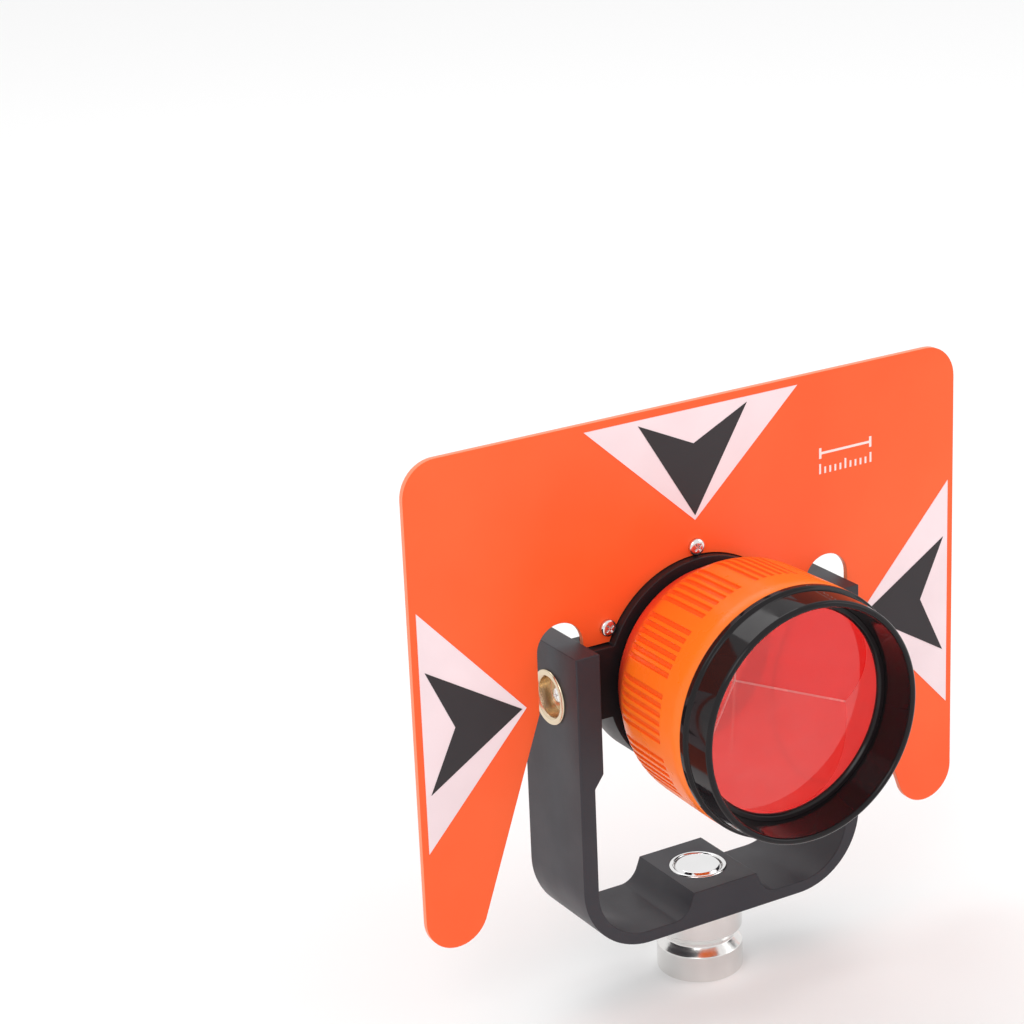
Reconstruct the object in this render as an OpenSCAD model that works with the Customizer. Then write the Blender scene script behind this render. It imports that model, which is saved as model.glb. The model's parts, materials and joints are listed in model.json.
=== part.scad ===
// Tilting survey prism: a corner-cube canister with a target plate, carried in a U-shaped yoke on a spigot.
// Origin: on the spigot axis, at the face where the yoke seats. +Z is up, and the prism looks along -Y.

/* [Yoke] */
// Height of the tilt axis above the seat
tilt_axis_height = 86.4; // [84:0.2:90]
// Outside width of the yoke over both arms
yoke_width = 108; // [106:1:112]
// Front-to-back depth of the yoke strap
yoke_depth = 33; // [28:1:36]
// Height of the arm tops above the tilt axis
arm_rise = 17.8; // [14:0.2:19]
// Thickness of each arm where it carries the bush
arm_upper_t = 8.75; // [7.5:0.25:9]
// Thickness of each arm below the chamfer
arm_lower_t = 5.5; // [4:0.5:7]
// Thickness of the strap under the prism
strap_t = 4.1; // [3:0.1:6]
// Outer radius of the bottom bends
bend_outer_r = 24.5; // [18:0.5:28]
// Inner radius of the bottom bends
bend_inner_r = 18.2; // [12:0.2:22]
// Height of the centre boss above the seat
boss_h = 12.3; // [11:0.1:14]
// Width of the flat top of the boss
boss_top_w = 24.8; // [22:0.2:30]

/* [Spigot] */
// Outside radius of the spigot
spigot_r = 14.3; // [13:0.1:17]
// Length of the spigot below the seat
spigot_len = 24.1; // [22:0.1:30]
// Radius of the neck that the clamp screw enters
neck_r = 11.7; // [11:0.1:12]
// Radius of the quick-release socket inside the spigot
socket_r = 6.05; // [6.05:0.05:6.5]
// Travel of the release button
button_travel = 2; // [1:0.1:2]

/* [Target plate] */
// Half the width of the plate
plate_half_w = 103.5; // [95:0.5:110]
// Height of the plate's top edge above the tilt axis
plate_top = 87.4; // [80:0.2:92]
// Thickness of the plate
plate_t = 2; // [1.5:0.1:2.4]
// Distance of the plate's front face in front of the tilt axis
plate_front = 2.75; // [2.5:0.05:3]
// Radius of the two upper corners
corner_r = 11.5; // [6:0.5:16]
// Radius of the two rounded feet
foot_r = 11.1; // [9:0.1:12]
// Base length of the white triangles
triangle_base = 80; // [60:1:84]
// Height of the white triangles
triangle_h = 36.9; // [30:0.1:38]

/* [Canister] */
// Outside radius at the front of the ribbed shell
shell_front_r = 41; // [40.8:0.1:42]
// Outside radius at the back edge of the shell
shell_back_r = 33.6; // [32:0.1:34.4]
// Distance of the shell's front edge in front of the tilt axis
shell_front = 53.25; // [53.25:0.05:56]
// Number of groove groups round the shell
groove_groups = 12; // [6:1:12]
// Number of grooves in each group
grooves_per_group = 6; // [3:1:6]
// Width of each grip groove
groove_w = 1.4; // [0.8:0.1:1.8]
// Depth of each grip groove
groove_depth = 0.7; // [0.4:0.1:1]
// Distance of the hood's front rim in front of the tilt axis
hood_front = 65.75; // [62:0.25:70]
// Radius of the glass prism's round front face
glass_r = 34.6; // [34:0.1:34.6]

/* [Holder] */
// Outside radius of the holder's collar
collar_r = 35.9; // [35:0.1:36]
// Radius of the bore that the canister's neck turns in
holder_bore_r = 27.05; // [27.05:0.01:27.1]
// Radius of the circle that the plate screws lie on
screw_circle_r = 39.1; // [39:0.1:39.6]

/* [Hidden] */
$fn = 96;
eps = 0.01;

// Yoke
arm_x = yoke_width / 2;
arm_inner_x = arm_x - arm_upper_t;
arm_lower_x = arm_x - arm_lower_t;
step_top = tilt_axis_height - 22.8;
step_bottom = tilt_axis_height - 27.3;
boss_fillet_r = 7;
boss_foot_x = boss_top_w / 2 + 8;
boss_fillet_z = strap_t + boss_fillet_r - 0.05;

// Spigot, from the seat down
stem_r = 9.5;
stem_top = 8.6;
neck_slope_top = -5.6;
neck_top = -11.1;
neck_bottom = -12.4;
neck_shoulder = -14.6;
spring_chamber_r = 6.6;
chamber_floor = -2;
web_bottom = -4;
relief_r = 4.2;
relief_bottom = -8;
rod_r = 2;
ring_groove_z = -16;
ring_groove_r = 7;
ring_half = 0.6;

// Release button
bezel_top = boss_h + 0.3;
bezel_inner_r = 8.2;
button_r = 7.8;
button_under = stem_top + button_travel + 0.2;
button_top = 12.9;
rod_bottom = -7.5;
clip_bottom = -4.68;
clip_r = 3.4;
spring_wire_r = 0.5;
spring_r = 4.6;
spring_turns = 5;

// Pivot bushes and pins, measured outwards from the centre plane
bush_body_r = 7.6;
bush_flange_r = 9.05;
bush_proud = 0.8;
bush_cup_r = 6.6;
web_outer_x = 49.6;
web_inner_x = 48.2;
bush_bore_r = 5.05;
pin_r = 5;
pin_start_x = 36;
pin_end_x = web_inner_x - 0.1;
block_start_x = 32;
block_end_x = arm_inner_x - 0.85;
friction_washer_r = 9;
spring_washer_r = 3.6;
spring_washer_t = 0.5;
seat_gap = 0.05;

// Pan-head screws
screw_r = 1.5;
head_r = 2.8;
head_h = 1.8;
head_rim_h = 0.7;
recess_len = 3;
recess_w = 0.6;
recess_depth = 1.1;
screw_turns = [30, 90, 150];

// Target plate, in the plate's plane with the tilt axis at the origin
plate_back = plate_front - plate_t;
foot_x = plate_half_w - foot_r;
foot_z = -63.7;
notch_x = 51.2;
notch_z = 16.5;
notch_r = 8.4;
tab_z = 14.5;
leg_top_z = -3.6;
film_t = 0.2;
arrow_t = 0.12;
side_apex = 64.3;
top_apex = 48;
mark_x = 48.5;
mark_z = 53;
mark_w = 21;
mark_t = 0.15;

// Canister, measured forwards from the tilt axis
shell_back = 7.55;
shell_slope_end = 19.25;
shell_knee = 23.25;
rib_front = 42.25;
shell_band = shell_front - 6;
shell_mid_r = shell_front_r - 1.4;
shell_knee_r = shell_front_r - 0.7;
band_slope = (shell_front_r - shell_knee_r) / (shell_band - shell_knee);
rib_front_r = shell_knee_r + band_slope * (rib_front - shell_knee);
group_middle = 25;
groove_pitch = 4.1;
shell_bore_r = 34.9;
glass_front = 52.25;
glass_rim = 3;
glass_apex = glass_front - glass_rim - glass_r * sqrt(2);
neck_outer_r = 27;
neck_inner_r = 24.3;
neck_back = -8.6;
neck_flange_r = 31;
skirt_r = 37.5;
skirt_back = 50;
hood_bore_r = 35.7;
hood_lip = shell_front + 2.2;
clamp_bore_r = 33.6;
clamp_front = 54;
gasket_t = 0.4;
seat_bore_r = 29.5;
seat_back = 31;
seat_front = 37;
neck_flange_back = 9.4;
neck_flange_front = 12.4;
cap_t = 3.6;
cap_rim_r = 26.4;
cap_rim_t = 2;
cap_slot_len = 40;
cap_slot_w = 2;
pad_r = 8;
prism_turn = 102;
seal_r = 30.4;
seal_wire_r = 0.93;

// Holder
collar_front = 5.55;
collar_back = -9.5;
flange_r = 43.6;
flange_back = plate_back - 4;
block_top = 13.9;
block_bottom = -9.9;
block_back = -8.2;

black = [0.13, 0.12, 0.13];
orange = [1, 0.36, 0.14];
grip_orange = [1, 0.42, 0.1];
steel = [0.78, 0.76, 0.75];
brass = [0.78, 0.66, 0.45];
film_white = [0.96, 0.9, 0.92];
rubber_black = [0.06, 0.06, 0.06];

// Turns a shape drawn along +Z to point forwards (-Y), with its origin on the tilt axis.
module facing() {
    translate([0, 0, tilt_axis_height]) rotate([90, 0, 0]) children();
}

// Turns a shape drawn along +Z to point sideways; side is 1 for right and -1 for left.
module sideways(side) {
    translate([0, 0, tilt_axis_height]) rotate([0, 90 * side, 0]) children();
}

module tube(outer, inner, from, to) {
    translate([0, 0, from]) rotate_extrude()
        translate([inner, 0]) square([outer - inner, to - from]);
}

// Cross recess cut into the top of a screw head.
module cross_recess() {
    for (turn = [0, 90]) rotate([0, 0, turn])
        translate([-recess_len / 2, -recess_w / 2, -recess_depth])
            cube([recess_len, recess_w, recess_depth + eps]);
}

// Pan-head screw with its shank along -Z and the underside of its head at z = 0.
module pan_screw(shank) {
    difference() {
        union() {
            rotate_extrude() polygon([[0, 0], [head_r, 0], [head_r, head_rim_h],
                [head_r - 0.35, head_rim_h + 0.6], [head_r - 1.1, head_h - 0.1], [0, head_h]]);
            translate([0, 0, -shank]) cylinder(r = screw_r, h = shank + eps);
        }
        translate([0, 0, head_h]) cross_recess();
    }
}

// ---- Yoke and spigot ----

module yoke_outline() {
    top = tilt_axis_height + arm_rise;
    translate([-arm_x, bend_outer_r]) square([yoke_width, top - bend_outer_r]);
    translate([bend_outer_r - arm_x, 0]) square([yoke_width - 2 * bend_outer_r, bend_outer_r + eps]);
    for (side = [-1, 1]) translate([side * (arm_x - bend_outer_r), bend_outer_r]) circle(bend_outer_r);
}

module yoke_window() {
    bend_x = arm_lower_x - bend_inner_r;
    bend_z = strap_t + bend_inner_r;
    open_top = tilt_axis_height + arm_rise + 1;
    polygon([[-arm_lower_x, bend_z], [arm_lower_x, bend_z], [arm_lower_x, step_bottom],
        [arm_inner_x, step_top], [arm_inner_x, open_top], [-arm_inner_x, open_top],
        [-arm_inner_x, step_top], [-arm_lower_x, step_bottom]]);
    translate([-bend_x, strap_t]) square([2 * bend_x, bend_inner_r + eps]);
    for (side = [-1, 1]) translate([side * bend_x, bend_z]) circle(bend_inner_r);
}

// Boss in section: a flat top, sloping sides and a hollow fillet down to the strap.
module boss_outline() {
    corner_x = boss_top_w / 2;
    run_x = boss_foot_x - corner_x;
    run_z = boss_fillet_z - boss_h;
    reach = norm([run_x, run_z]);
    slope = atan2(run_z, run_x) - asin(boss_fillet_r / reach);
    side_len = sqrt(reach * reach - boss_fillet_r * boss_fillet_r);
    tangent_x = corner_x + side_len * cos(slope);
    tangent_z = boss_h + side_len * sin(slope);
    difference() {
        polygon([[-boss_foot_x, strap_t - 1], [-boss_foot_x, tangent_z], [-tangent_x, tangent_z],
            [-corner_x, boss_h], [corner_x, boss_h], [tangent_x, tangent_z],
            [boss_foot_x, tangent_z], [boss_foot_x, strap_t - 1]]);
        for (side = [-1, 1]) translate([side * boss_foot_x, boss_fillet_z]) circle(boss_fillet_r);
    }
}

module yoke() {
    color(black) difference() {
        translate([0, yoke_depth / 2, 0]) rotate([90, 0, 0]) linear_extrude(yoke_depth)
            difference() {
                yoke_outline();
                difference() {
                    yoke_window();
                    boss_outline();
                }
            }
        translate([0, 0, -1]) cylinder(r = stem_r, h = boss_h + 2);
        for (side = [-1, 1]) sideways(side)
            translate([0, 0, arm_inner_x - 1]) cylinder(r = bush_body_r, h = arm_upper_t + 2);
    }
}

module spigot() {
    ring_low = ring_groove_z - ring_half;
    ring_high = ring_groove_z + ring_half;
    color(steel) rotate_extrude() polygon([[stem_r, stem_top], [stem_r, 0], [spigot_r, 0],
        [spigot_r, neck_slope_top], [neck_r + 0.6, neck_top], [neck_r, neck_top],
        [neck_r, neck_bottom], [spigot_r - 0.3, neck_shoulder], [spigot_r, neck_shoulder - 0.3],
        [spigot_r, 0.5 - spigot_len], [spigot_r - 0.5, -spigot_len], [socket_r + 0.6, -spigot_len],
        [socket_r, 0.6 - spigot_len], [socket_r, ring_low], [ring_groove_r, ring_low],
        [ring_groove_r, ring_high], [socket_r, ring_high], [socket_r, relief_bottom],
        [relief_r, relief_bottom], [relief_r, web_bottom], [rod_r + 0.1, web_bottom],
        [rod_r + 0.1, chamber_floor], [spring_chamber_r, chamber_floor],
        [spring_chamber_r, stem_top]]);
}

// Open wire ring that snaps over the groove of a stub in the socket.
module snap_ring() {
    color(steel) difference() {
        tube(ring_groove_r - 0.05, socket_r + 0.05, ring_groove_z + 0.1 - ring_half,
            ring_groove_z - 0.1 + ring_half);
        translate([-1, 0, ring_groove_z - 1]) cube([2, ring_groove_r + 1, 2]);
    }
}

module button_bezel() {
    color(steel) rotate_extrude() polygon([[bezel_inner_r, stem_top], [stem_r, stem_top],
        [stem_r, bezel_top - 0.3], [stem_r - 0.3, bezel_top], [bezel_inner_r + 0.4, bezel_top],
        [bezel_inner_r, bezel_top - 0.4]]);
}

module release_button() {
    color(steel) difference() {
        translate([0, 0, button_under]) rotate_extrude() polygon([[0, 0], [button_r, 0],
            [button_r, 1], [button_r - 0.9, 1.9], [0, button_top - button_under]]);
        translate([0, 0, button_under - eps]) cylinder(r = rod_r, h = 1);
    }
}

module button_stem() {
    rod_top = button_under + 1 - 2 * eps;
    color(steel) difference() {
        translate([0, 0, rod_bottom]) cylinder(r = rod_r, h = rod_top - rod_bottom);
        tube(rod_r + 1, rod_r - 0.4, clip_bottom - 0.02, clip_bottom + 0.68);
    }
}

// Clip in the stem's groove, which stops the button under the web.
module button_clip() {
    color(steel) translate([0, 0, clip_bottom]) difference() {
        cylinder(r = clip_r, h = 0.6);
        translate([0, 0, -1]) cylinder(r = rod_r - 0.4, h = 3);
        translate([-0.8, 0, -1]) cube([1.6, 5, 3]);
    }
}

// Compression spring between the spigot's web and the button, swept as a closed coil.
module button_spring() {
    steps_per_turn = 20;
    sides = 8;
    low = chamber_floor + spring_wire_r + 0.05;
    rise = button_under - spring_wire_r - 0.05 - low;
    rings = spring_turns * steps_per_turn;
    function wire_point(i, j) = let (
        a = 360 * i / steps_per_turn,
        b = 360 * j / sides,
        r = spring_r + spring_wire_r * cos(b)
    ) [r * cos(a), r * sin(a), low + rise * i / rings + spring_wire_r * sin(b)];
    points = [for (i = [0:rings], j = [0:sides - 1]) wire_point(i, j)];
    walls = [for (i = [0:rings - 1], j = [0:sides - 1]) let (k = (j + 1) % sides)
        [i * sides + j, i * sides + k, (i + 1) * sides + k, (i + 1) * sides + j]];
    first_cap = [for (j = [sides - 1:-1:0]) j];
    last_cap = [for (j = [0:sides - 1]) rings * sides + j];
    color(steel) polyhedron(points, concat([first_cap], walls, [last_cap]));
}

// ---- Tilt pivots ----

module bush(side) {
    color(brass) sideways(side) rotate_extrude() polygon([[bush_bore_r, arm_inner_x],
        [bush_body_r, arm_inner_x], [bush_body_r, arm_x], [bush_flange_r, arm_x],
        [bush_flange_r, arm_x + bush_proud - 0.3], [bush_flange_r - 0.3, arm_x + bush_proud],
        [bush_cup_r + 0.7, arm_x + bush_proud], [bush_cup_r, arm_x + bush_proud - 0.7],
        [bush_cup_r, web_outer_x], [screw_r + 0.15, web_outer_x],
        [screw_r + 0.15, web_inner_x], [bush_bore_r, web_inner_x]]);
}

module pivot_pin(side) {
    color(steel) sideways(side) tube(pin_r, screw_r, pin_start_x, pin_end_x);
}

module friction_washer(side) {
    color(rubber_black) sideways(side)
        tube(friction_washer_r, pin_r + 0.1, block_end_x, arm_inner_x - seat_gap);
}

module spring_washer(side) {
    color(steel) sideways(side) translate([0, 0, web_outer_x + seat_gap])
        tube(spring_washer_r, screw_r + 0.1, 0, spring_washer_t);
}

module pivot_screw(side) {
    color(steel) sideways(side) translate([0, 0, web_outer_x + seat_gap + spring_washer_t])
        pan_screw(10);
}

// ---- Head: holder, plate and films ----

// Collar round the canister's neck, with a block for each pivot and a flange behind the plate.
module prism_holder() {
    color(black) difference() {
        union() {
            facing() tube(collar_r, holder_bore_r, collar_back, collar_front);
            facing() translate([0, 0, flange_back]) linear_extrude(plate_back - flange_back)
                difference() {
                    circle(flange_r);
                    circle(collar_r - 1);
                    translate([-100, -200 + tab_z + 0.4]) square(200);
                }
            for (side = [-1, 1]) facing()
                translate([side > 0 ? block_start_x : -block_end_x, block_bottom, block_back])
                    cube([block_end_x - block_start_x, block_top - block_bottom,
                        collar_front - block_back]);
        }
        for (side = [-1, 1]) sideways(side)
            translate([0, 0, pin_start_x]) cylinder(r = pin_r, h = arm_x - pin_start_x);
        for (turn = screw_turns) facing() rotate([0, 0, turn])
            translate([screw_circle_r, 0, flange_back - 1]) cylinder(r = screw_r, h = 10);
    }
}

// Plate with square corners cut back to the centres of the round corners and feet; each leg
// tapers from the notch down to its foot, where its edge runs just inside the round.
module plate_outline() {
    leg_x = notch_x + notch_r;
    run_x = foot_x - leg_x;
    run_z = foot_z - leg_top_z;
    reach = norm([run_x, run_z]);
    touch_r = foot_r - 0.03;
    heading = atan2(run_z, run_x) - asin(touch_r / reach);
    edge_len = sqrt(reach * reach - touch_r * touch_r);
    corner_x = plate_half_w - corner_r;
    corner_z = plate_top - corner_r;
    right = [[notch_x, tab_z], [notch_x, leg_top_z], [leg_x, leg_top_z],
        [leg_x + edge_len * cos(heading), leg_top_z + edge_len * sin(heading)],
        [foot_x, foot_z], [plate_half_w, foot_z], [plate_half_w, corner_z],
        [corner_x, corner_z], [corner_x, plate_top]];
    polygon(concat(right, [for (i = [len(right) - 1:-1:0]) [-right[i].x, right[i].y]]));
    for (side = [-1, 1]) {
        translate([side * corner_x, corner_z]) circle(corner_r);
        translate([side * foot_x, foot_z]) circle(foot_r);
    }
}

module target_plate() {
    color(orange) facing() translate([0, 0, plate_back]) linear_extrude(plate_t) difference() {
        plate_outline();
        circle(collar_r + 0.3);
        translate([-collar_r - 0.3, tab_z - 20]) square([2 * collar_r + 0.6, 20]);
        for (side = [-1, 1]) translate([side * notch_x, notch_z]) {
            circle(notch_r);
            translate([-notch_r, -60]) square([2 * notch_r, 60]);
        }
        for (turn = screw_turns) rotate(turn) translate([screw_circle_r, 0]) circle(screw_r + 0.2);
    }
}

module plate_screws() {
    color(steel) for (turn = screw_turns) facing() rotate([0, 0, turn])
        translate([screw_circle_r, 0, plate_front]) rotate([0, 0, 20 - turn]) pan_screw(5.5);
}

// Places a film cut-out with its apex towards the prism, at the given reach from the tilt axis.
module film_place(turn, reach, level, thickness) {
    facing() rotate([0, 0, turn]) translate([reach, 0, level]) linear_extrude(thickness) children();
}

module white_triangle() {
    polygon([[0, 0], [triangle_h, triangle_base / 2], [triangle_h, -triangle_base / 2]]);
}

module arrow_shape() {
    polygon([[1.6, 0], [35.1, 20.4], [25.5, 0], [35.1, -20.4]]);
}

module white_film(turn, reach) {
    color(film_white) film_place(turn, reach, plate_front, film_t) white_triangle();
}

module arrow_film(turn, reach) {
    color(rubber_black) film_place(turn, reach, plate_front + film_t, arrow_t) arrow_shape();
}

// Plain graduation: a bar between two end stops over a row of ticks.
module offset_mark() {
    color(film_white) facing() translate([mark_x, mark_z, plate_front]) linear_extrude(mark_t) {
        for (x = [0, mark_w - 0.9]) translate([x, 5.2]) square([0.9, 3.6]);
        translate([0.9 - eps, 6.6]) square([mark_w - 1.8 + 2 * eps, 0.8]);
        for (i = [0:10]) translate([i * (mark_w - 0.7) / 10, 0])
            square([0.7, i % 5 == 0 ? 3.4 : 2.2]);
    }
}

// ---- Canister ----

// Rubber ring between the collar and the shoulder of the shell.
module canister_seal() {
    color(rubber_black) facing() translate([0, 0, (collar_front + shell_back) / 2])
        rotate_extrude() translate([seal_r, 0]) circle(seal_wire_r, $fn = 32);
}

module shell_body() {
    rotate_extrude() polygon([[neck_outer_r, shell_back], [shell_back_r, shell_back],
        [shell_mid_r, shell_slope_end], [shell_knee_r, shell_knee],
        [shell_front_r, shell_band], [shell_front_r, shell_front], [skirt_r, shell_front],
        [skirt_r, skirt_back], [shell_bore_r, skirt_back], [shell_bore_r, 21],
        [neck_flange_r, neck_flange_front], [neck_flange_r, neck_flange_back],
        [neck_outer_r, neck_flange_back]]);
}

// Cutter for one grip groove; its floor follows the taper of the shell and runs out at the back.
module groove_cutter() {
    clear_r = shell_front_r + 1;
    run_out = shell_slope_end - 3;
    rotate([90, 0, 0]) translate([0, 0, -groove_w / 2]) linear_extrude(groove_w)
        polygon([[shell_mid_r - groove_depth, run_out], [shell_mid_r - groove_depth, shell_slope_end],
            [shell_knee_r - groove_depth, shell_knee], [rib_front_r - groove_depth, rib_front],
            [clear_r, rib_front], [clear_r, run_out]]);
}

module canister_shell() {
    group_pitch = 360 / groove_groups;
    first_groove = group_middle - groove_pitch * (grooves_per_group - 1) / 2;
    color(grip_orange) facing() difference() {
        shell_body();
        for (g = [0:groove_groups - 1], i = [0:grooves_per_group - 1])
            rotate([0, 0, first_groove + g * group_pitch + i * groove_pitch]) groove_cutter();
    }
}

// Sleeve that turns in the holder, with a flange held inside the shell.
module threaded_neck() {
    color(black) facing() rotate_extrude() polygon([[neck_inner_r, neck_back],
        [neck_outer_r, neck_back], [neck_outer_r, neck_flange_back],
        [neck_flange_r, neck_flange_back], [neck_flange_r, neck_flange_front],
        [neck_inner_r, neck_flange_front]]);
}

module hood_ring() {
    color(rubber_black) facing() rotate_extrude() polygon([[hood_bore_r, skirt_back],
        [skirt_r, skirt_back], [skirt_r, shell_front], [shell_front_r, shell_front],
        [shell_front_r, hood_lip], [shell_front_r - 1.1, hood_lip + 0.5],
        [shell_front_r - 1.7, hood_front - 0.5], [shell_front_r - 2.2, hood_front],
        [hood_bore_r + 0.9, hood_front], [hood_bore_r + 0.6, hood_front - 0.4],
        [hood_bore_r, clamp_front]]);
}

module glass_clamp_ring() {
    color(rubber_black) facing() rotate_extrude() polygon([[clamp_bore_r, glass_front + gasket_t],
        [hood_bore_r, glass_front + gasket_t], [hood_bore_r, clamp_front],
        [clamp_bore_r + 0.6, clamp_front], [clamp_bore_r, clamp_front - 0.8]]);
}

module front_gasket() {
    color(rubber_black) facing()
        tube(hood_bore_r - 0.5, clamp_bore_r + 0.1, glass_front, glass_front + gasket_t);
}

// Corner cube: a round front with a short rim, cut behind by three square planes that meet at the apex.
module corner_cube() {
    stand_up = atan(1 / sqrt(2));
    size = 80;
    intersection() {
        translate([0, 0, glass_apex]) rotate([0, 0, prism_turn])
            rotate([45, -stand_up, 0]) cube(size);
        translate([0, 0, glass_apex]) cylinder(r = glass_r, h = glass_front - glass_apex);
    }
}

module glass_prism() {
    color([0.95, 0.8, 0.8, 0.4]) facing() corner_cube();
}

// Ring behind the prism whose three pads bear on the facets.
module prism_seat() {
    color(rubber_black) facing() difference() {
        tube(shell_bore_r, seat_bore_r, seat_back, seat_front);
        corner_cube();
    }
}

// Foam pad that presses on the prism's apex from the rear cap.
module rear_pad() {
    color(rubber_black) facing() difference() {
        translate([0, 0, neck_back + cap_t]) cylinder(r = pad_r, h = 7.5);
        corner_cube();
    }
}

module rear_cap() {
    color(black) facing() {
        translate([0, 0, neck_back]) cylinder(r = neck_inner_r, h = cap_t);
        translate([0, 0, neck_back - cap_rim_t]) difference() {
            cylinder(r = cap_rim_r, h = cap_rim_t + eps);
            translate([-cap_slot_len / 2, -cap_slot_w / 2, -eps]) cube([cap_slot_len, cap_slot_w, 1]);
        }
    }
}

yoke();
spigot();
snap_ring();
button_bezel();
bush(-1);  // bush_left
bush(1);  // bush_right
release_button();
button_stem();
button_clip();
button_spring();
prism_holder();
pivot_pin(-1);  // pivot_pin_left
pivot_pin(1);  // pivot_pin_right
friction_washer(-1);  // friction_washer_left
friction_washer(1);  // friction_washer_right
spring_washer(-1);  // spring_washer_left
spring_washer(1);  // spring_washer_right
pivot_screw(-1);  // pivot_screw_left
pivot_screw(1);  // pivot_screw_right
target_plate();
plate_screws();
white_film(90, top_apex);  // white_film_top
white_film(180, side_apex);  // white_film_left
white_film(0, side_apex);  // white_film_right
arrow_film(90, top_apex);  // arrow_film_top
arrow_film(180, side_apex);  // arrow_film_left
arrow_film(0, side_apex);  // arrow_film_right
offset_mark();
canister_seal();
canister_shell();
threaded_neck();
hood_ring();
glass_clamp_ring();
front_gasket();
glass_prism();
prism_seat();
rear_pad();
rear_cap();
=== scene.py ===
"""Tilting survey prism: the looks of the target plate, ribbed canister, glass prism, yoke and spigot
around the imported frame. Lengths are in millimetres in a piece's own frame and in metres in the frame
that all pieces share."""

import json
import math

import bmesh
import bpy
from mathutils import Matrix, Vector


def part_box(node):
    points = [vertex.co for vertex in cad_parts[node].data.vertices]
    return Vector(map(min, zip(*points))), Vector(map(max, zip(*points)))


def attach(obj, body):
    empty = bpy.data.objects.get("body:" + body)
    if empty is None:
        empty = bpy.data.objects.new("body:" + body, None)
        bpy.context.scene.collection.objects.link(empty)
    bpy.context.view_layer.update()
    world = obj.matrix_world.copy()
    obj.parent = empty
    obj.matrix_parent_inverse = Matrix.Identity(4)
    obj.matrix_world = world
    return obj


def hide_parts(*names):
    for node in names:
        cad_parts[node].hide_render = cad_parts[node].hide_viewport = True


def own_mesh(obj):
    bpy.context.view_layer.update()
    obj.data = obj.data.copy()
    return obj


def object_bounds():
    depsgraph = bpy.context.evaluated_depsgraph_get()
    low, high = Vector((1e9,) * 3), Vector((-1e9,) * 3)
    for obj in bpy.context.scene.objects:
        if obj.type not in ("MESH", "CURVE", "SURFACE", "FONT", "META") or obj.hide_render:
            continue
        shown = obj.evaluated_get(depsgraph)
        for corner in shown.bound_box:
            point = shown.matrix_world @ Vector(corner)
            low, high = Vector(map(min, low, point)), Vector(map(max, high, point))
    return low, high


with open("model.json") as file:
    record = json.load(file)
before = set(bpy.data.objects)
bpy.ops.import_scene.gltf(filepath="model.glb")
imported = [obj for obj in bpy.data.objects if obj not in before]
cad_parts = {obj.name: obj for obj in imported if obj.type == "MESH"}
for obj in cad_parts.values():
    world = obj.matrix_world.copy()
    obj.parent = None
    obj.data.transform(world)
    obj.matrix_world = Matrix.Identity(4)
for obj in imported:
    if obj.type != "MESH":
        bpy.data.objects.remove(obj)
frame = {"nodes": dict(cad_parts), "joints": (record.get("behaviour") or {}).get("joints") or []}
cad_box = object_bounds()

MM = 0.001
NODES = frame["nodes"]
JOINTS = {joint["name"]: joint for joint in frame["joints"]}
TILT_AXIS = Vector(JOINTS["head_tilt"]["pos_m"])
# Turned pieces have their axis along +Z of their own frame: up the spigot, or forward out of the prism.
UP = Matrix.Scale(MM, 4)
FACING = Matrix.Translation(TILT_AXIS) @ Matrix.Rotation(math.radians(90), 4, "X") @ Matrix.Scale(MM, 4)


def sideways(side):
    """Frame with +Z out along the tilt axis, to the right for side 1 and to the left for side -1."""
    turn = Matrix.Rotation(math.radians(90 * side), 4, "Y")
    return Matrix.Translation(TILT_AXIS) @ turn @ Matrix.Scale(MM, 4)


# ---- Mesh helpers ----


def soften(points, radius, arc=4):
    """Rounds the corners of a closed (radius, height) outline, apart from those on the axis."""
    out = []
    for i, point in enumerate(points):
        here = Vector(point)
        back = Vector(points[i - 1]) - here
        ahead = Vector(points[(i + 1) % len(points)]) - here
        if here.x < 1e-6:
            out.append(here)
            continue
        start = here + back.normalized() * min(radius, 0.45 * back.length)
        end = here + ahead.normalized() * min(radius, 0.45 * ahead.length)
        for k in range(arc + 1):
            t = k / arc
            out.append(start * (1 - t) ** 2 + here * (2 * t * (1 - t)) + end * t ** 2)
    return out


def add_piece(name, bm, place, smooth=True):
    """Makes an object of a bmesh, in the shared frame."""
    bmesh.ops.recalc_face_normals(bm, faces=bm.faces)
    mesh = bpy.data.meshes.new(name)
    bm.to_mesh(mesh)
    bm.free()
    mesh.transform(place)
    mesh.update()
    piece = bpy.data.objects.new(name, mesh)
    bpy.context.scene.collection.objects.link(piece)
    for face in mesh.polygons:
        face.use_smooth = smooth
    return piece


def even_angles(steps):
    return [2 * math.pi * k / steps for k in range(steps)]


def from_nearest(angle, centres):
    """Smallest turn, either way, from an angle to one of the centres."""
    return min(abs((angle - c + math.pi) % (2 * math.pi) - math.pi) for c in centres)


def smooth_step(value, start, end):
    t = min(1, max(0, (value - start) / (end - start)))
    return t * t * (3 - 2 * t)


def turned(name, outline, place, angles=None, dent=None):
    """Solid of revolution of a closed outline. Where the surface is cut, dent(angle, r, z) gives a
    smaller radius."""
    angles = angles or even_angles(256)
    bm = bmesh.new()
    rings = []
    for r, z in outline:
        if r < 1e-6:
            rings.append([bm.verts.new((0, 0, z))])
            continue
        ring = []
        for a in angles:
            reach = dent(a, r, z) if dent else r
            ring.append(bm.verts.new((reach * math.cos(a), reach * math.sin(a), z)))
        rings.append(ring)
    for i, low in enumerate(rings):
        high = rings[(i + 1) % len(rings)]
        if len(low) == 1 and len(high) == 1:
            continue
        for k in range(len(angles)):
            after = (k + 1) % len(angles)
            lower = [low[k], low[after]] if len(low) > 1 else low
            upper = [high[after], high[k]] if len(high) > 1 else high
            bm.faces.new(lower + upper)
    return add_piece(name, bm, place)


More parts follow.
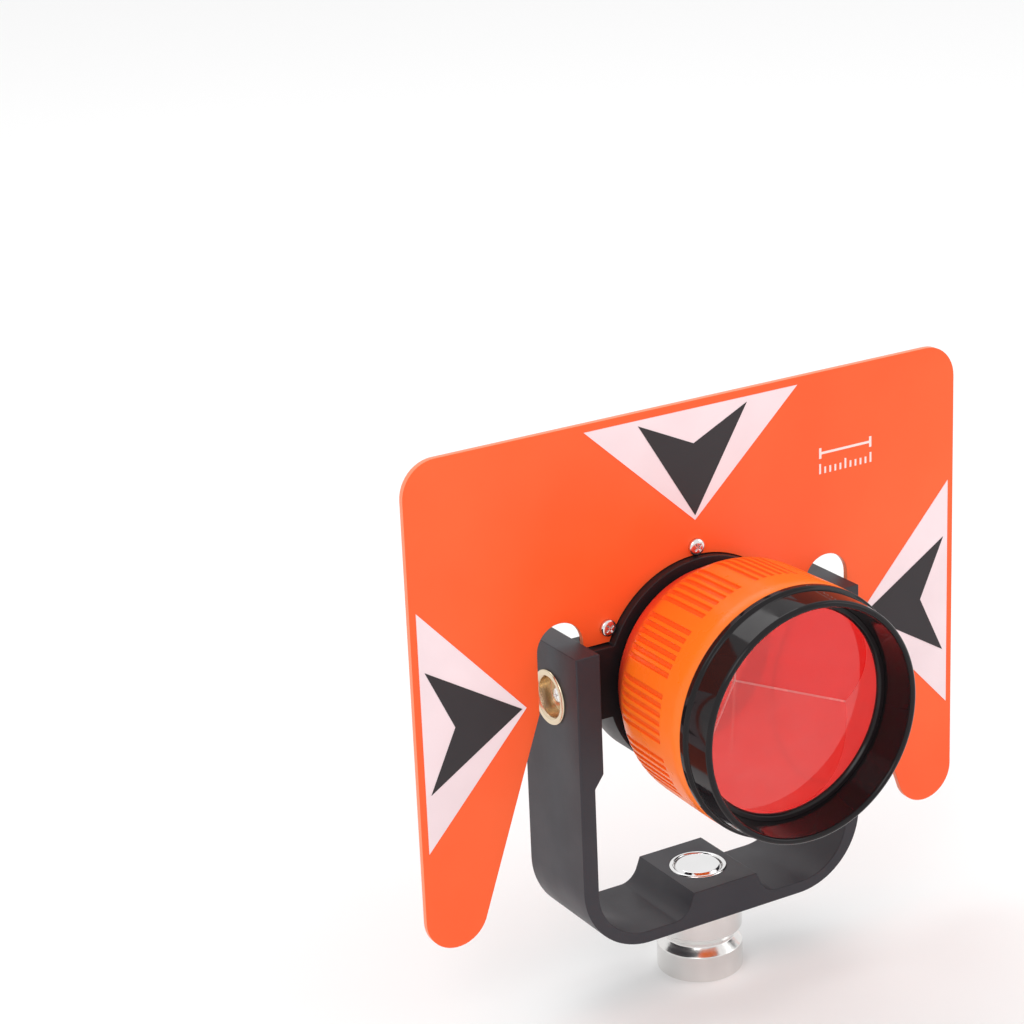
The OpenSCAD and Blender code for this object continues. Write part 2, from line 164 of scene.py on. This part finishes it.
def weighted(piece):
    """Keeps flat faces flat beside their rounded edges."""
    piece.modifiers.new("Normals", "WEIGHTED_NORMAL").keep_sharp = True


def edged(piece, width_mm):
    """Joins a CAD node's triangles into its flat faces and gives its edges a small round."""
    weld = piece.modifiers.new("Weld", "WELD")
    weld.merge_threshold = 1e-6
    flat = piece.modifiers.new("Flats", "DECIMATE")
    flat.decimate_type = "DISSOLVE"
    flat.angle_limit = math.radians(0.5)
    bevel = piece.modifiers.new("Edges", "BEVEL")
    bevel.width = width_mm * MM
    bevel.segments = 3
    bevel.limit_method = "ANGLE"
    bevel.angle_limit = math.radians(28)
    bevel.harden_normals = False
    for face in piece.data.polygons:
        face.use_smooth = True
    weighted(piece)


# ---- Material helpers ----


class Graph:
    """A material's node tree with short calls for the nodes used here."""

    def __init__(self, name, colour, rough, metallic=0.0, **sockets):
        self.material = bpy.data.materials.new(name)
        self.material.use_nodes = True
        self.tree = self.material.node_tree
        self.base = self.tree.nodes["Principled BSDF"]
        self.base.inputs["Base Color"].default_value = (*colour, 1)
        self.base.inputs["Roughness"].default_value = rough
        self.base.inputs["Metallic"].default_value = metallic
        for socket, value in sockets.items():
            self.base.inputs[socket.replace("_", " ")].default_value = value
        self.place = self.add("ShaderNodeTexCoord").outputs["Object"]

    def add(self, kind, **values):
        node = self.tree.nodes.new(kind)
        for key, value in values.items():
            setattr(node, key, value)
        return node

    def link(self, source, target):
        self.tree.links.new(source, target)

    def number(self, operation, a, b=None):
        """Output of a maths node on sockets or plain numbers."""
        node = self.add("ShaderNodeMath", operation=operation)
        for socket, value in zip(node.inputs, (a, b)):
            if value is None:
                continue
            if isinstance(value, (int, float)):
                socket.default_value = value
            else:
                self.link(value, socket)
        return node.outputs[0]

    def noise(self, scale, detail, vector=None):
        node = self.add("ShaderNodeTexNoise")
        node.inputs["Scale"].default_value = scale
        node.inputs["Detail"].default_value = detail
        self.link(vector or self.place, node.inputs["Vector"])
        return node.outputs["Fac"]

    def spread(self, value, low, high, start=0.35, end=0.65):
        """Maps start..end to low..high; most of a noise's values are between 0.35 and 0.65."""
        node = self.add("ShaderNodeMapRange")
        node.inputs["From Min"].default_value = start
        node.inputs["From Max"].default_value = end
        node.inputs["To Min"].default_value = low
        node.inputs["To Max"].default_value = high
        self.link(value, node.inputs["Value"])
        return node.outputs["Result"]

    def mix(self, factor, a, b):
        """Blend of two colours, each a tuple or a socket. Inputs 6 and 7 and output 2 are the colour ones."""
        node = self.add("ShaderNodeMix", data_type="RGBA")
        for socket, value in ((node.inputs[6], a), (node.inputs[7], b)):
            if isinstance(value, tuple):
                socket.default_value = (*value, 1)
            else:
                self.link(value, socket)
        self.link(factor, node.inputs[0])
        return node.outputs[2]

    def colour(self, source):
        self.shown = source
        self.link(source, self.base.inputs["Base Color"])

    def rough(self, source):
        self.link(source, self.base.inputs["Roughness"])

    def bump(self, height, distance_mm, strength, before=None):
        node = self.add("ShaderNodeBump")
        node.inputs["Distance"].default_value = distance_mm * MM
        node.inputs["Strength"].default_value = strength
        self.link(height, node.inputs["Height"])
        if before:
            self.link(before, node.inputs["Normal"])
        self.link(node.outputs["Normal"], self.base.inputs["Normal"])
        return node.outputs["Normal"]

    def parts(self, vector):
        node = self.add("ShaderNodeSeparateXYZ")
        self.link(vector, node.inputs[0])
        return node.outputs

    def facing_out(self):
        """The surface's own normal, as three numbers."""
        return self.parts(self.add("ShaderNodeNewGeometry").outputs["Normal"])

    def joined(self, x, y, z):
        node = self.add("ShaderNodeCombineXYZ")
        for socket, value in zip(node.inputs, (x, y, z)):
            if isinstance(value, (int, float)):
                socket.default_value = value
            else:
                self.link(value, socket)
        return node.outputs[0]

    def around(self, axis, centre):
        """Distance from an axis through centre, position along it and angle round it."""
        shift = self.add("ShaderNodeVectorMath", operation="SUBTRACT")
        shift.inputs[1].default_value = centre
        self.link(self.place, shift.inputs[0])
        x, y, z = self.parts(shift.outputs[0])
        across = {"X": (y, z), "Y": (x, z), "Z": (x, y)}[axis]
        along = {"X": x, "Y": y, "Z": z}[axis]
        squares = [self.number("MULTIPLY", c, c) for c in across]
        radius = self.number("SQRT", self.number("ADD", *squares))
        angle = self.number("ARCTAN2", *across)
        return radius, along, angle


def paint(name, colour, shade, rough, grain=0.02):
    """Sprayed or powder coat: slow drift of shade, uneven gloss and a fine orange peel, its depth in mm."""
    g = Graph(name, colour, rough, Specular_IOR_Level=0.3)
    g.colour(g.mix(g.spread(g.noise(14, 3), 0, 1), colour, shade))
    g.rough(g.spread(g.noise(60, 4), rough - 0.05, rough + 0.06))
    peel = g.bump(g.noise(520, 1), grain, 0.35)
    g.bump(g.noise(2600, 2), grain * 0.5, 0.3, peel)
    return g


def darker(colour, share):
    return tuple(share * c for c in colour)


def lathe_metal(name, colour, rough, axis, centre=(0, 0, 0), depth=0.004):
    """Turned metal: close tool marks round the axis, with slight bands of gloss. Depth of the marks in mm."""
    g = Graph(name, colour, rough, 1.0)
    radius, along, angle = g.around(axis, centre)
    marks = g.noise(9000, 2, g.joined(radius, along, g.number("MULTIPLY", angle, 0.0002)))
    bands = g.noise(750, 1, g.joined(radius, along, 0))
    round_it, along_it = g.number("MULTIPLY", angle, 2.0), g.number("MULTIPLY", along, 60)
    wide = g.noise(1.0, 2, g.joined(round_it, along_it, radius))
    g.rough(g.number("ADD", g.spread(bands, rough - 0.03, rough + 0.04), g.spread(wide, -0.02, 0.02)))
    g.colour(g.mix(g.spread(wide, 0, 1), colour, darker(colour, 0.94)))
    g.bump(marks, depth, 0.5)
    return g


def plain(name, colour, rough, grain_scale=1800, grain=0.015, metallic=0.0, **sockets):
    """Moulded, drawn or plated surface: fine grain, its depth in mm, with a little change of gloss."""
    g = Graph(name, colour, rough, metallic, **sockets)
    g.rough(g.spread(g.noise(90, 3), rough - 0.04, rough + 0.05))
    g.colour(g.mix(g.spread(g.noise(40, 2), 0, 1), colour, darker(colour, 0.93)))
    g.bump(g.noise(grain_scale, 2), grain, 0.3)
    return g


def wear(piece, graph):
    """Puts a material on a piece, or on a CAD node."""
    piece.data.materials.clear()
    piece.data.materials.append(graph.material)


# ---- Materials ----

ORANGE = (1.0, 0.13, 0.03)
ORANGE_DEEP = (1.0, 0.11, 0.022)
SHELL_ORANGE = (1.0, 0.2, 0.014)
SHELL_DEEP = (1.0, 0.165, 0.01)
# Darker red for the shell's rear cone: painted reflection of the plate and painted shade.
REAR_PAINTED_REFLECTION_RED = (1.0, 0.085, 0.03)
CUT_EDGE = (1.0, 0.26, 0.13)
# Darker orange for the faces in the shell's grooves: painted shade.
GROOVE_SHADED_ORANGE = (0.93, 0.135, 0.016)
GROOVE_SHADED_DEEP = (0.91, 0.11, 0.013)
CHARCOAL = (0.04, 0.037, 0.044)
CHARCOAL_DEEP = (0.031, 0.029, 0.036)


def plate_paint():
    """Orange coat whose cut edges are paler."""
    g = paint("plate_orange", ORANGE, ORANGE_DEEP, 0.38)
    flatness = g.number("ABSOLUTE", g.facing_out()[1])
    edge = g.spread(flatness, 1, 0, 0.3, 0.9)
    g.colour(g.mix(edge, g.shown, CUT_EDGE))
    return g


def shell_paint(name, colour, shade):
    """Moulded orange, redder over the rear cone where it faces the plate: painted reflection of the plate's
    orange with painted shade.
    """
    g = paint(name, colour, shade, 0.3, 0.015)
    # Painted reflection and painted shade: the rear cone, up to about 13 mm in front of the tilt axis, takes
    # the darker red, which fades out by 21 mm.
    rear = g.spread(g.around("Y", TILT_AXIS)[1], 0, 1, -0.021, -0.013)
    g.colour(g.mix(rear, g.shown, REAR_PAINTED_REFLECTION_RED))
    return g


yoke_coat = paint("yoke_charcoal", CHARCOAL, CHARCOAL_DEEP, 0.42, 0.03)
holder_coat = paint("holder_black", (0.018, 0.015, 0.017), (0.013, 0.011, 0.012), 0.4, 0.03)
plate_orange = plate_paint()
shell_orange = shell_paint("shell_orange", SHELL_ORANGE, SHELL_DEEP)
# Groove faces: painted shade, a darker orange than the rest of the shell.
shell_groove_painted_shade = shell_paint("shell_groove_painted_shade", GROOVE_SHADED_ORANGE, GROOVE_SHADED_DEEP)
# White film whose pink tint is painted reflection.
white_film = plain("film_white_painted_pink_reflection", (0.93, 0.76, 0.79), 0.35, 3000, 0.006)
arrow_film = plain("film_charcoal", (0.032, 0.026, 0.029), 0.4, 3000, 0.006, Specular_IOR_Level=0.3)
mark_ink = plain("ink_white", (0.95, 0.8, 0.76), 0.5, 3000, 0.006)
spigot_steel = lathe_metal("steel_turned", (0.8, 0.785, 0.77), 0.2, "Z", depth=0.0012)
bright_steel = plain("steel_polished", (0.86, 0.85, 0.85), 0.1, 5000, 0.002, 1.0)
pin_steel = lathe_metal("steel_pin", (0.6, 0.59, 0.58), 0.25, "X", TILT_AXIS)
brass = plain("brass_turned", (0.74, 0.61, 0.44), 0.2, 4000, 0.003, 1.0)
spring_steel = plain("steel_drawn", (0.5, 0.49, 0.48), 0.3, 4000, 0.004, 1.0)
screw_steel = plain("steel_plated", (0.82, 0.8, 0.79), 0.16, 3000, 0.004, 1.0)
rubber = plain("rubber_black", (0.02, 0.02, 0.02), 0.75, 1500, 0.03)
washer_plastic = plain("washer_black", (0.025, 0.025, 0.025), 0.55)
neck_metal = lathe_metal("neck_anodised", (0.05, 0.05, 0.052), 0.35, "Y", TILT_AXIS)
hood_black = plain("hood_gloss_black", (0.01, 0.008, 0.009), 0.06, 1200, 0.002, Specular_IOR_Level=0.22)
clamp_black = plain("clamp_black", (0.014, 0.01, 0.011), 0.12, 1200, 0.003, Specular_IOR_Level=0.22)
seat_black = plain("seat_black", (0.03, 0.028, 0.028), 0.6)
foam = plain("foam_grey", (0.06, 0.058, 0.056), 0.9, 900, 0.2)


# ---- CAD nodes that are seen as they are ----

for node, graph in {
    "snap_ring": spring_steel, "button_stem": pin_steel, "button_clip": spring_steel,
    "pivot_pin_left": pin_steel, "pivot_pin_right": pin_steel,
    "friction_washer_left": washer_plastic, "friction_washer_right": washer_plastic,
    "spring_washer_left": spring_steel, "spring_washer_right": spring_steel,
    "white_film_top": white_film, "white_film_left": white_film, "white_film_right": white_film,
    "arrow_film_top": arrow_film, "arrow_film_left": arrow_film, "arrow_film_right": arrow_film,
    "offset_mark": mark_ink, "canister_seal": rubber, "front_gasket": rubber,
    "prism_seat": seat_black, "rear_pad": foam,
}.items():
    wear(NODES[node], graph)

for node, graph, width in (
    ("yoke", yoke_coat, 0.7), ("target_plate", plate_orange, 0.3), ("prism_holder", holder_coat, 0.5),
    ("threaded_neck", neck_metal, 0.2), ("rear_cap", seat_black, 0.3),
):
    wear(NODES[node], graph)
    edged(NODES[node], width)


# ---- Pieces that replace a CAD node ----


def spigot():
    """Turned spigot with its waist, clip groove and stepped bore."""
    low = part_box("spigot")[0].z / MM
    body_r, waist_r, collar_r, collar_top = 14.3, 11.7, 9.5, 8.6
    bore_r, clip_r, clip_low, clip_high = 6.05, 7, -16.6, -15.4
    stem_r, spring_r = 2.1, 6.6
    outline = [
        (collar_r, collar_top), (collar_r, 0), (body_r, 0), (body_r, -8.6), (12.3, -11.1),
        (waist_r, -11.1), (waist_r, -12.4), (14.0, -14.6), (body_r, -14.9), (body_r, low + 0.5),
        (13.8, low), (6.65, low), (bore_r, low + 0.6), (bore_r, clip_low), (clip_r, clip_low),
        (clip_r, clip_high), (bore_r, clip_high), (bore_r, -8), (4.2, -8), (4.2, -4),
        (stem_r, -4), (stem_r, -2), (spring_r, -2), (spring_r, collar_top),
    ]
    piece = turned("spigot_turned", soften(outline, 0.18), UP)
    wear(piece, spigot_steel)
    weighted(piece)
    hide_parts("spigot")
    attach(piece, "yoke_frame")


def bezel():
    """Bright ring round the button."""
    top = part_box("button_bezel")[1].z / MM
    outline = [(8.2, 8.6), (9.5, 8.6), (9.5, top - 0.3), (9.2, top), (8.6, top), (8.2, top - 0.4)]
    piece = turned("bezel_ring", soften(outline, 0.15), UP)
    wear(piece, bright_steel)
    weighted(piece)
    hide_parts("button_bezel")
    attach(piece, "yoke_frame")


def button():
    """Disc with a slightly domed top."""
    low, high = (corner.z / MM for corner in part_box("release_button"))
    crown_r, rise = 7.0, 0.2
    shares = [1 - k / 8 for k in range(9)]
    crown = [(crown_r * t, high - rise + rise * (1 - t ** 2)) for t in shares]
    outline = [(0, low + 1), (2, low + 1), (2, low), (7.8, low), (7.8, low + 1)] + crown
    piece = turned("button_disc", soften(outline, 0.12), UP)
    wear(piece, bright_steel)
    weighted(piece)
    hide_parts("release_button")
    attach(piece, "button")


def coil_spring():
    """Wire coil under the button."""
    low, high = (corner.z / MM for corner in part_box("button_spring"))
    wire, middle, turns, steps, sides = 0.48, 4.6, 5, 32, 12
    end_gap = 0.5
    bm = bmesh.new()
    rings = []
    for i in range(turns * steps + 1):
        a = 2 * math.pi * i / steps
        z = low + end_gap + (high - low - 2 * end_gap) * i / (turns * steps)
        ring = []
        for b in even_angles(sides):
            r = middle + wire * math.cos(b)
            ring.append(bm.verts.new((r * math.cos(a), r * math.sin(a), z + wire * math.sin(b))))
        rings.append(ring)
    for lower, upper in zip(rings, rings[1:]):
        for j in range(sides):
            k = (j + 1) % sides
            bm.faces.new((lower[j], lower[k], upper[k], upper[j]))
    bm.faces.new(rings[0])
    bm.faces.new(rings[-1])
    piece = add_piece("button_spring_coil", bm, UP)
    wear(piece, spring_steel)
    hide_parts("button_spring")
    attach(piece, "yoke_frame")
    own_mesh(piece)


def bush(name, side):
    """Flanged cup through a yoke arm, with a web for the pivot screw between its pin bore and its mouth."""
    inner, outer = sorted(abs(corner.x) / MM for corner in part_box(name))
    face = outer - 0.8
    web_low, web_high = 48.2, 49.6
    outline = [
        (5.05, inner), (7.6, inner), (7.6, face), (9.05, face), (9.05, outer - 0.3), (8.75, outer),
        (7.3, outer), (6.6, outer - 0.7), (6.6, web_high), (1.65, web_high), (1.65, web_low), (5.05, web_low),
    ]
    piece = turned(name + "_turned", soften(outline, 0.2), sideways(side))
    wear(piece, brass)
    weighted(piece)
    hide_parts(name)
    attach(piece, "yoke_frame")


def screw_head(bm, place, shank):
    """Pan head with a tapered cross recess on a plain shank; the underside of the head is at z = 0."""
    head_r, crown, rim, edge = 2.8, 1.8, 0.75, 0.12
    arm_reach, arm_half_w, arm_wall, recess = 1.55, 0.33, 0.16, 1.1
    shallower = 0.35 / 1.5
    shank_r, tip_r, tip_len = 1.5, 1.2, 0.3
    rows, columns = 30, 96

    def height(x, y):
        from_middle = math.hypot(x, y)
        dome = rim + (crown - rim) * math.sqrt(max(0, 1 - min(1, from_middle / head_r) ** 3.2))
        arm_x = max(abs(x) - arm_reach, abs(y) - arm_half_w)
        arm_y = max(abs(y) - arm_reach, abs(x) - arm_half_w)
        sunk = smooth_step(-min(arm_x, arm_y), 0, arm_wall)
        return dome - recess * sunk * (1 - shallower * from_middle)

    def ring(r, z=None):
        out = []
        for a in even_angles(columns):
            x, y = r * math.cos(a), r * math.sin(a)
            out.append(bm.verts.new(place @ Vector((x, y, height(x, y) if z is None else z))))
        return out

    rings = [ring(head_r * (i + 1) / rows) for i in range(rows)]
    rings += [ring(head_r, edge), ring(head_r - edge, 0), ring(shank_r, 0)]
    rings += [ring(shank_r, tip_len - shank), ring(tip_r, -shank)]
    top = bm.verts.new(place @ Vector((0, 0, height(0, 0))))
    tip = bm.verts.new(place @ Vector((0, 0, -shank)))
    for k in range(columns):
        after = (k + 1) % columns
        bm.faces.new((top, rings[0][k], rings[0][after]))
        bm.faces.new((tip, rings[-1][after], rings[-1][k]))
        for low, high in zip(rings, rings[1:]):
            bm.faces.new((low[k], high[k], high[after], low[after]))


def plate_screws():
    """Three screws on a circle round the canister, each stopped at its own turn."""
    front = -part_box("target_plate")[0].y / MM
    circle_r, shank = 39.1, 5.5
    bm = bmesh.new()
    for turn, slot_turn in ((30, 12), (90, 38), (150, 64)):
        spot = Matrix.Rotation(math.radians(turn), 4, "Z") @ Matrix.Translation((circle_r, 0, front))
        screw_head(bm, spot @ Matrix.Rotation(math.radians(slot_turn), 4, "Z"), shank)
    piece = add_piece("plate_screws_pan", bm, FACING)
    wear(piece, screw_steel)
    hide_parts("plate_screws")
    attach(piece, "tilt_head")


def pivot_screw(name, side):
    """Screw on the spring washer in a bush's mouth, its shank in the pivot pin."""
    washer_top, slot_turn, shank = 50.15, 25, 10
    spot = Matrix.Translation((0, 0, washer_top))
    bm = bmesh.new()
    screw_head(bm, spot @ Matrix.Rotation(math.radians(slot_turn), 4, "Z"), shank)
    piece = add_piece(name + "_pan", bm, sideways(side))
    wear(piece, screw_steel)
    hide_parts(name)
    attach(piece, "tilt_head")


def shell():
    """Ribbed cone: groups of shallow grooves with soft shoulders, cut into a turned profile; the groove faces
    take a darker orange, painted shade.
    """
    front = -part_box("canister_shell")[0].y / MM
    groups, grooves, pitch, group_middle, group_turn = 12, 6, 4.1, 25, 30
    depth, half_w, shoulder, fade = 0.68, 0.74, 0.2, 0.9
    rear, slope_end, knee, rib_end, widest = 7.55, 19.25, 23.25, 42.25, front - 6
    rear_r, slope_r, knee_r, full_r = 33.6, 39.6, 40.3, 41
    centres = [
        math.radians(group_middle + group_turn * g + pitch * (i - (grooves - 1) / 2))
        for g in range(groups) for i in range(grooves)
    ]

    def outside(w):
        """Radius of the uncut surface at distance w in front of the tilt axis."""
        if w < slope_end:
            return rear_r + (slope_r - rear_r) * (w - rear) / (slope_end - rear)
        if w < knee:
            return slope_r + (knee_r - slope_r) * (w - slope_end) / (knee - slope_end)
        return min(full_r, knee_r + (full_r - knee_r) * (w - knee) / (widest - knee))

    def soft_outside(w):
        """The same with its two bends blended."""
        return sum(outside(w + offset) for offset in (-1.6, -0.8, 0, 0.8, 1.6)) / 5

    def off_groove(angle, r):
        """Distance round the shell to the middle of the nearest groove."""
        return r * from_nearest(angle, centres)

    def ribbed(r, w):
        return r > 36 and slope_end - 4 < w < rib_end

    def dent(angle, r, w):
        if not ribbed(r, w):
            return r
        across = 1 - smooth_step(off_groove(angle, r), half_w - shoulder, half_w + shoulder)
        floor = (outside(w) if w > slope_end else slope_r) - depth
        along = 1 - smooth_step(w, rib_end - fade, rib_end)
        return r - across * along * max(0, r - floor)

    # Columns of points: close together on each groove's shoulders, and three on the plain land of each gap.
    middle_r = 40.5
    offsets = (0.2, 0.45, 0.56, 0.64, 0.7, 0.76, 0.82, 0.9, 1.0, 1.2)
    columns = [c + side * o / middle_r for c in centres for o in offsets for side in (-1, 1)]
    for g in range(groups):
        gap = group_middle + group_turn * (g + 0.5)
        columns += [math.radians(gap + s) for s in (-1.2, 0, 1.2)]
    angles = sorted({round(a % (2 * math.pi), 6) for a in columns})

    # Rows of points: even ones over the whole surface, and close ones where the grooves run out.
    first_row, row_pitch, end_pitch = 8.4, 1.1, 0.25
    rows = [first_row + row_pitch * k for k in range(30)]
    rows += [rib_end + end_pitch * k for k in range(-5, 3)]
    outline = [(27.0, rear), (32.9, rear), (33.4, rear + 0.2)]
    outline += [(soft_outside(w), w) for w in sorted(rows)]
    outline += [(full_r, front - 5), (full_r, front - 0.5), (40.7, front - 0.1), (40.4, front)]
    outline += [(37.5, front), (37.5, 50), (34.9, 50), (34.9, 21), (31, 12.4), (31, 9.4), (27.0, 9.4)]
    piece = turned("shell_ribbed", outline, FACING, angles, dent)
    wear(piece, shell_orange)
    piece.data.materials.append(shell_groove_painted_shade.material)
    # Faces sunk more than a little below the surface, within the grooves, take the darker orange: painted
    # shade.
    least_cut, side_room = 0.12, 0.1
    back = FACING.inverted()
    for face in piece.data.polygons:
        x, y, w = back @ face.center
        r = math.hypot(x, y)
        if not ribbed(r, w) or soft_outside(w) - r <= least_cut:
            continue
        if off_groove(math.atan2(y, x), r) < half_w + side_room:
            face.material_index = 1
    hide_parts("canister_shell")
    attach(piece, "canister")


def hood():
    """Gloss ring on the shell's mouth, stepped and rounded towards the glass."""
    front = -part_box("hood_ring")[0].y / MM
    back = -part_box("hood_ring")[1].y / MM
    shoulder, lip = 53.25, 55.45
    outline = [
        (35.7, back), (37.5, back), (37.5, shoulder), (41, shoulder), (41, lip), (39.9, lip + 0.5),
        (39.2, front - 0.7), (38.5, front), (37.5, front), (37.0, front - 0.7), (35.7, 54),
    ]
    piece = turned("hood_turned", soften(outline, 0.45, 6), FACING)
    wear(piece, hood_black)
    weighted(piece)
    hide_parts("hood_ring")
    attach(piece, "canister")


def clamp_ring():
    """Thin ring in front of the glass, with a chamfered inner edge."""
    back = -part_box("glass_clamp_ring")[1].y / MM
    front = back + 1.35
    outline = [(33.6, back), (35.7, back), (35.7, front), (34.2, front), (33.6, back + 0.55)]
    piece = turned("clamp_ring_turned", soften(outline, 0.2), FACING)
    wear(piece, clamp_black)
    weighted(piece)
    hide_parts("glass_clamp_ring")
    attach(piece, "canister")


def facet_coat(f, facet_shade_green):
    """Red mirror coat behind one facet of the glass, with a faint mottling. Each facet gets its own green
    share, and so its own tone of red: painted light and shade.
    """
    red, deep = (1.0, facet_shade_green, 0.9 * facet_shade_green), (1.0, 0.8 * facet_shade_green, 0.7 * facet_shade_green)
    g = Graph("prism_red_mirror_painted_tone_%d" % f, red, 0.03, 0.5)
    g.colour(g.mix(g.spread(g.noise(60, 2), 0, 1), red, deep))
    return g


def prism():
    """Corner cube: a flat round front and a rim, and behind them three facets square to one another.
    It is a little smaller than the CAD prism, which fills its seat's many-sided bore and touches its pad."""
    apex_gap, rim_gap = 0.06, 0.08
    front = -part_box("glass_prism")[0].y / MM
    apex = -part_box("glass_prism")[1].y / MM + apex_gap
    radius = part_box("glass_prism")[1].x / MM - rim_gap
    turn = math.radians(102)
    facet_middles = [math.radians(middle) for middle in (60, 180, 300)]
    steps, chamfer, ridge_w = 240, 0.2, 0.45
    glass, first_facet, rim_ground, ridge = 0, 1, 4, 5
    bm = bmesh.new()

    def ring(r, height):
        out = []
        for k in range(steps):
            a = turn + 2 * math.pi * k / steps
            out.append(bm.verts.new((r * math.cos(a), r * math.sin(a), height(a - turn))))
        return out

    def behind(a):
        """Height at which a facet meets the rim; each facet's slope is the square root of 2."""
        return apex + math.sqrt(2) * radius * math.cos(from_nearest(a, facet_middles))

    back = ring(radius, behind)
    rim = ring(radius, lambda a: front - chamfer)
    face = ring(radius - chamfer, lambda a: front)
    tip = bm.verts.new((0, 0, apex))
    third = steps // 3
    for f in range(3):
        arc = [back[(f * third + k) % steps] for k in range(third + 1)]
        bm.faces.new([tip] + arc).material_index = first_facet + f
    for k in range(steps):
        after = (k + 1) % steps
        bm.faces.new((back[k], rim[k], rim[after], back[after])).material_index = rim_ground
        bm.faces.new((rim[k], face[k], face[after], rim[after])).material_index = rim_ground
    bm.faces.new(face).material_index = glass
    bmesh.ops.bevel(bm, geom=list(tip.link_edges), offset=ridge_w, offset_type="OFFSET",
                    segments=1, profile=0.5, affect="EDGES", material=ridge)
    piece = add_piece("corner_cube", bm, FACING, smooth=False)
    coats = [Graph("prism_glass", (1.0, 0.97, 0.965), 0.0, 0.0, Transmission_Weight=1.0, IOR=1.51)]
    # One coat in three tones: painted light and shade that set the facets apart.
    coats += [facet_coat(f, facet_shade_green) for f, facet_shade_green in enumerate((0.22, 0.38, 0.16))]
    coats.append(plain("prism_ground_rim", (1.0, 0.42, 0.4), 0.6))
    coats.append(plain("prism_ridge", (1.0, 0.72, 0.68), 0.25, metallic=0.3))
    for graph in coats:
        piece.data.materials.append(graph.material)
    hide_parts("glass_prism")
    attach(piece, "canister")


spigot()
bezel()
button()
coil_spring()
bush("bush_left", -1)
bush("bush_right", 1)
plate_screws()
pivot_screw("pivot_screw_left", -1)
pivot_screw("pivot_screw_right", 1)
shell()
hood()
clamp_ring()
prism()


# ---- Studio ----


def floor():
    """White ground at the height of the spigot's foot."""
    bm = bmesh.new()
    bmesh.ops.create_grid(bm, x_segments=2, y_segments=2, size=6)
    piece = add_piece("studio_floor", bm, Matrix.Translation((0, 0, cad_box[0].z)))
    wear(piece, Graph("floor_white", (0.93, 0.93, 0.93), 0.9))


def soft_light(name, spot, size, power):
    """Rectangular light, aimed at the canister."""
    data = bpy.data.lights.new(name, "AREA")
    data.shape = "RECTANGLE"
    data.size, data.size_y = size
    data.energy = power
    lamp = bpy.data.objects.new(name, data)
    bpy.context.scene.collection.objects.link(lamp)
    lamp.location = spot
    aim = Vector((0, 0, 0.08)) - Vector(spot)
    lamp.rotation_euler = aim.to_track_quat("-Z", "Y").to_euler()


def studio():
    """White surroundings and three soft lights."""
    world = bpy.data.worlds.new("studio")
    bpy.context.scene.world = world
    world.use_nodes = True
    background = world.node_tree.nodes["Background"]
    background.inputs["Color"].default_value = (1, 1, 1, 1)
    background.inputs["Strength"].default_value = 0.97
    soft_light("key_left", (-1.1, -1.0, 1.3), (0.8, 0.8), 5)
    soft_light("fill_right", (1.4, -0.9, 0.8), (0.7, 1.0), 3)
    soft_light("top_back", (0.1, 0.9, 1.5), (1.2, 0.5), 4)


def camera():
    """Stands where the photograph was taken from."""
    data = bpy.data.cameras.new("camera")
    data.sensor_width = 36
    data.lens = 100.08
    eye = bpy.data.objects.new("camera", data)
    bpy.context.scene.collection.objects.link(eye)
    spot = (-0.46951, -0.70833, 0.4397)
    azimuth, elevation, roll = (math.radians(v) for v in (-29.746, 19.533, -2.563))
    turn = Matrix.Rotation(azimuth, 4, "Z") @ Matrix.Rotation(math.pi / 2 - elevation, 4, "X")
    eye.matrix_world = Matrix.Translation(spot) @ turn @ Matrix.Rotation(roll, 4, "Z")
    bpy.context.scene.camera = eye


def light_paths():
    """Enough bounces for light to come back out of the corner cube, and nothing taken off its brightness."""
    cycles = bpy.context.scene.cycles
    cycles.max_bounces = 40
    cycles.glossy_bounces = 24
    cycles.diffuse_bounces = 16
    cycles.transmission_bounces = 24
    cycles.caustics_refractive = True
    cycles.caustics_reflective = True
    cycles.sample_clamp_indirect = 0
    cycles.blur_glossy = 0


floor()
studio()
camera()
light_paths()
bpy.context.scene.view_settings.view_transform = "Standard"
